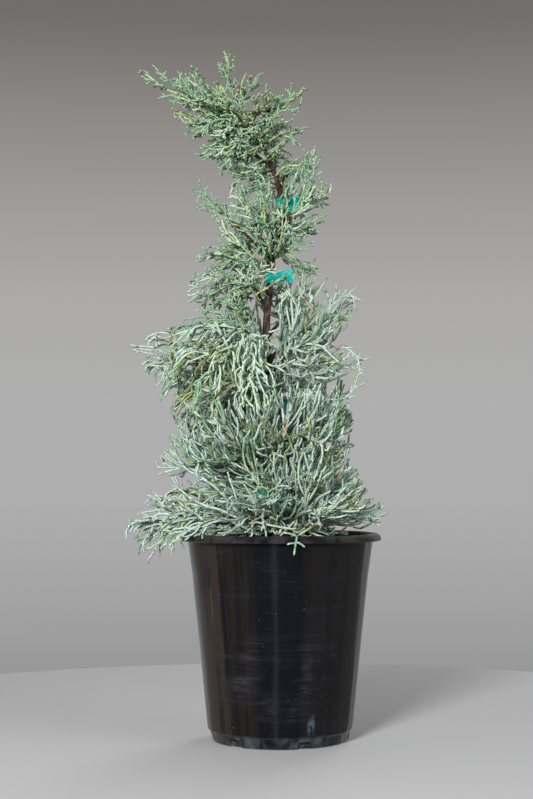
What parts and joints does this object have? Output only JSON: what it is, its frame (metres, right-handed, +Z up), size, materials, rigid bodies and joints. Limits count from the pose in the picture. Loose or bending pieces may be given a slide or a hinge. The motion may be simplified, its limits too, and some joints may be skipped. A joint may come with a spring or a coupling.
{
  "type": "spiral topiary",
  "caption": "Young blue cypress cut as an open spiral round its leaning trunk, tied with plastic tape and standing in a round black nursery pot.",
  "frame": {"origin": "middle of the pot's flat underside, in the plane that the pot stands on", "axes": "+Z up along the pot's axis, -Y to the front, +X to the right seen from the front"},
  "size_m": [0.2902, 0.2379, 0.7627],
  "materials": {
    "black_plastic": "glossy black, scuffed and dusty, with drip marks",
    "potting_soil": "rough dark mix of bark and peat",
    "bark": "matt fissured brown bark",
    "foliage": "matt waxy blue-green scale leaves with greener tips",
    "tie_tape": "soft teal tape"
  },
  "bodies": {
    "root": {"crown_back_left_bough": "bark", "crown_back_left_foliage": "foliage", "crown_back_right_bough": "bark", "crown_back_right_foliage": "foliage", "crown_front_left_bough": "bark", "crown_front_left_foliage": "foliage", "crown_front_right_bough": "bark", "crown_front_right_foliage": "foliage", "crown_left_bough": "bark", "crown_left_foliage": "foliage", "crown_right_bough": "bark", "crown_right_foliage": "foliage", "leader_foliage": "foliage", "lower_back_left_foliage": "foliage", "lower_back_right_foliage": "foliage", "lower_front_left_foliage": "foliage", "lower_front_right_foliage": "foliage", "lower_left_foliage": "foliage", "lower_right_foliage": "foliage", "middle_back_left_bough": "bark", "middle_back_left_foliage": "foliage", "middle_back_right_bough": "bark", "middle_back_right_foliage": "foliage", "middle_front_left_bough": "bark", "middle_front_left_foliage": "foliage", "middle_front_right_bough": "bark", "middle_front_right_foliage": "foliage", "middle_left_bough": "bark", "middle_left_foliage": "foliage", "middle_right_bough": "bark", "middle_right_foliage": "foliage", "pot": "black_plastic", "skirt_back_left_foliage": "foliage", "skirt_back_right_foliage": "foliage", "skirt_front_left_foliage": "foliage", "skirt_front_right_foliage": "foliage", "skirt_left_foliage": "foliage", "skirt_right_foliage": "foliage", "soil": "potting_soil", "tie_base": "tie_tape", "tie_lower": "tie_tape", "tie_middle": "tie_tape", "tie_upper": "tie_tape", "trunk": "bark", "upper_back_left_bough": "bark", "upper_back_left_foliage": "foliage", "upper_back_right_bough": "bark", "upper_back_right_foliage": "foliage", "upper_front_left_bough": "bark", "upper_front_left_foliage": "foliage", "upper_front_right_bough": "bark", "upper_front_right_foliage": "foliage", "upper_left_bough": "bark", "upper_left_foliage": "foliage", "upper_right_bough": "bark", "upper_right_foliage": "foliage"}
  },
  "joints": []
}
